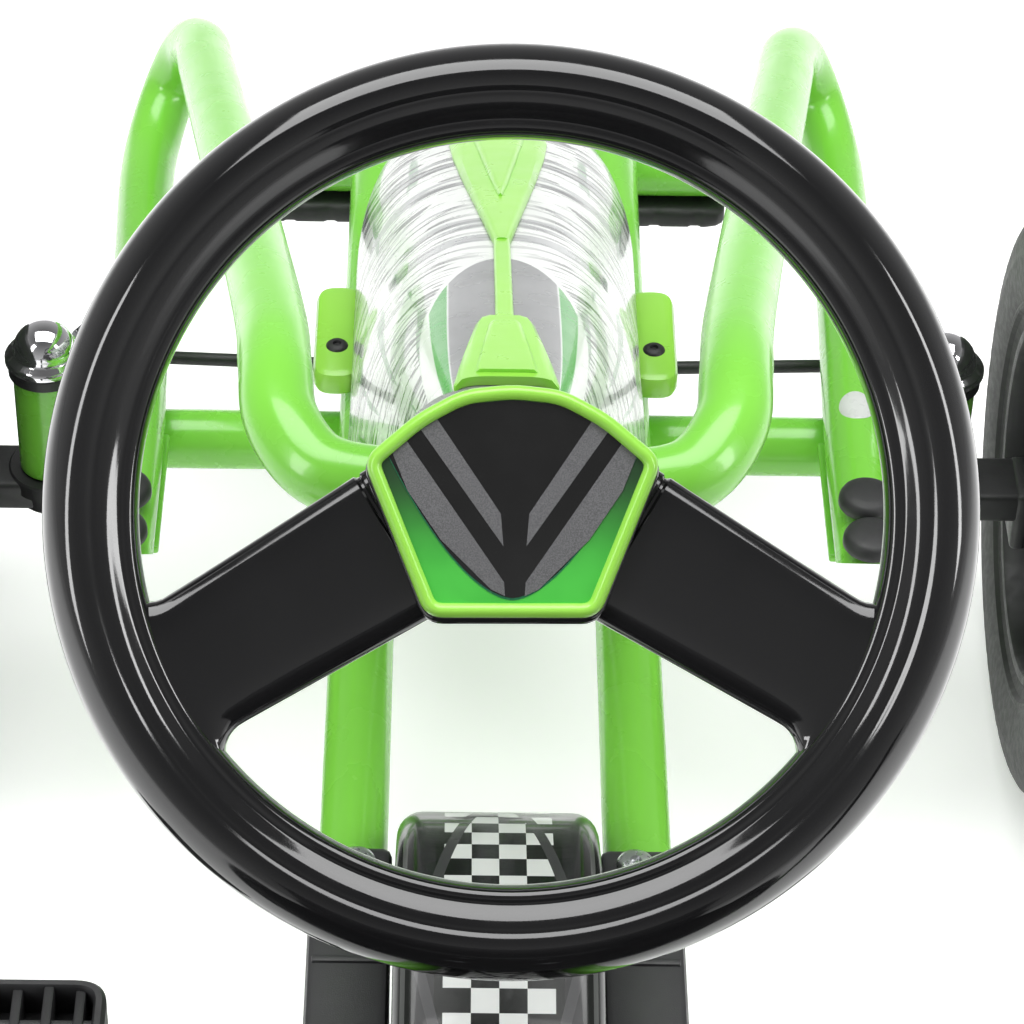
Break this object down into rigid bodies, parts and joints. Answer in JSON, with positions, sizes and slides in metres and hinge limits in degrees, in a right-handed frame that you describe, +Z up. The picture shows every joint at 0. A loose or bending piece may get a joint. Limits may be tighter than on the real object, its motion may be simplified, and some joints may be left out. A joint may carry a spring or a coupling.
{
  "type": "pedal go kart",
  "caption": "Child's chain-driven pedal go kart: tubular frame with front hoops, steering wheel and tie rods, bucket seat, hand brake and free-turning wheels.",
  "frame": {"origin": "ground level, under the middle of the kart's overall box", "axes": "+Y forwards along the kart, +X to the driver's right, +Z up"},
  "size_m": [0.5966, 1.1463, 0.5798],
  "materials": {
    "green_paint": "gloss powder coat, bright green",
    "green_plastic": "bright green moulding",
    "white_plastic": "white shell with a grey and green streaked film",
    "gloss_black": "polished black",
    "matte_black": "satin black",
    "dark_grey": "moulded dark grey",
    "tyre_black": "matt rubber tread",
    "chrome": "polished chrome",
    "steel": "zinc plated steel",
    "seat_black": "textured black moulding"
  },
  "bodies": {
    "frame": {"rail_left": "green_paint", "rail_right": "green_paint", "front_axle_beam": "green_paint", "front_crossmember": "green_paint", "front_bumper": "matte_black", "kingpin_sleeve_left": "green_paint", "kingpin_sleeve_right": "green_paint", "hoop_left": "green_paint", "hoop_right": "green_paint", "hoop_bracket_left": "green_paint", "hoop_bracket_right": "green_paint", "hoop_cap_nut_left_front": "matte_black", "hoop_cap_nut_left_rear": "matte_black", "hoop_cap_nut_right_front": "matte_black", "hoop_cap_nut_right_rear": "matte_black", "steering_head_tube": "green_paint", "column_foot_bush": "matte_black", "rear_axle_bracket_left": "green_paint", "rear_axle_bracket_right": "green_paint", "chain_case": "gloss_black", "drive_chain": "steel", "crank_bearing_block_left": "dark_grey", "crank_bearing_block_right": "dark_grey", "fairing": "white_plastic", "fairing_spine": "green_plastic", "fairing_tab_left": "green_plastic", "fairing_tab_right": "green_plastic"},
    "steering": {"steering_wheel": "gloss_black", "hub_cover": "green_plastic", "steering_column": "steel"},
    "tie_rod_left": {"tie_rod_left": "matte_black"},
    "tie_rod_right": {"tie_rod_right": "matte_black"},
    "knuckle_left": {"knuckle_left": "matte_black", "kingpin_cap_left": "chrome"},
    "knuckle_right": {"knuckle_right": "matte_black", "kingpin_cap_right": "chrome"},
    "wheel_front_left": {"tyre_front_left": "tyre_black", "rim_front_left": "matte_black", "wheel_cap_front_left": "green_plastic"},
    "wheel_front_right": {"tyre_front_right": "tyre_black", "rim_front_right": "matte_black", "wheel_cap_front_right": "green_plastic"},
    "rear_axle": {"rear_axle": "steel", "rear_sprocket": "steel", "tyre_rear_left": "tyre_black", "tyre_rear_right": "tyre_black", "rim_rear_left": "matte_black", "rim_rear_right": "matte_black", "wheel_cap_rear_left": "green_plastic", "wheel_cap_rear_right": "green_plastic"},
    "crank": {"crank": "matte_black", "chainring": "steel"},
    "pedal_left": {"pedal_left": "matte_black"},
    "pedal_right": {"pedal_right": "matte_black"},
    "seat": {"seat": "seat_black", "seat_bracket": "matte_black"},
    "seat_knob": {"seat_knob": "matte_black"},
    "brake": {"brake_lever": "steel", "brake_grip": "matte_black"}
  },
  "joints": [
    {"name": "steering_turn", "type": "hinge", "parent": "frame", "child": "steering", "pos_m": [0, -0.0713, 0.456], "axis": [0, -0.7547, 0.6561], "range_deg": [-28, 28]},
    {"name": "tie_rod_left_swing", "type": "hinge", "parent": "steering", "child": "tie_rod_left", "pos_m": [0, 0.40374, 0.12785], "axis": [0, -0.7547, 0.6561], "range_deg": [-28.5, 28.5]},
    {"name": "tie_rod_right_swing", "type": "hinge", "parent": "steering", "child": "tie_rod_right", "pos_m": [0, 0.40374, 0.12785], "axis": [0, -0.7547, 0.6561], "range_deg": [-28.5, 28.5]},
    {"name": "knuckle_left_turn", "type": "hinge", "parent": "frame", "child": "knuckle_left", "pos_m": [-0.189, 0.3127, 0.17], "axis": [0, 0, 1], "range_deg": [-20, 20]},
    {"name": "knuckle_right_turn", "type": "hinge", "parent": "frame", "child": "knuckle_right", "pos_m": [0.189, 0.3127, 0.17], "axis": [0, 0, 1], "range_deg": [-20, 20]},
    {"name": "wheel_front_left_spin", "type": "hinge", "parent": "knuckle_left", "child": "wheel_front_left", "pos_m": [-0.254, 0.3127, 0.13], "axis": [1, 0, 0], "continuous": true},
    {"name": "wheel_front_right_spin", "type": "hinge", "parent": "knuckle_right", "child": "wheel_front_right", "pos_m": [0.254, 0.3127, 0.13], "axis": [1, 0, 0], "continuous": true},
    {"name": "rear_axle_spin", "type": "hinge", "parent": "frame", "child": "rear_axle", "pos_m": [0, -0.4313, 0.13], "axis": [1, 0, 0], "continuous": true},
    {"name": "crank_spin", "type": "hinge", "parent": "frame", "child": "crank", "pos_m": [0, -0.0443, 0.165], "axis": [1, 0, 0], "continuous": true},
    {"name": "pedal_left_spin", "type": "hinge", "parent": "crank", "child": "pedal_left", "pos_m": [-0.169, -0.11202, 0.25168], "axis": [1, 0, 0], "continuous": true},
    {"name": "pedal_right_spin", "type": "hinge", "parent": "crank", "child": "pedal_right", "pos_m": [0.169, 0.02342, 0.07832], "axis": [1, 0, 0], "continuous": true},
    {"name": "seat_slide", "type": "slide", "parent": "frame", "child": "seat", "axis": [0, 1, 0], "range_m": [-0.05, 0.02]},
    {"name": "seat_knob_turn", "type": "hinge", "parent": "seat", "child": "seat_knob", "pos_m": [0.07, -0.3163, 0.2125], "axis": [1, 0, 0], "continuous": true},
    {"name": "brake_pull", "type": "hinge", "parent": "frame", "child": "brake", "pos_m": [0.201, -0.2713, 0.187], "axis": [1, 0, 0], "range_deg": [0, 5]}
  ],
  "couplings": [
    {"joint": "tie_rod_left_swing", "follows": "steering_turn", "ratio": -1},
    {"joint": "tie_rod_right_swing", "follows": "steering_turn", "ratio": -1},
    {"joint": "knuckle_left_turn", "follows": "steering_turn", "ratio": 0.7033},
    {"joint": "knuckle_right_turn", "follows": "steering_turn", "ratio": 0.7033},
    {"joint": "crank_spin", "follows": "rear_axle_spin", "ratio": 0.5}
  ]
}
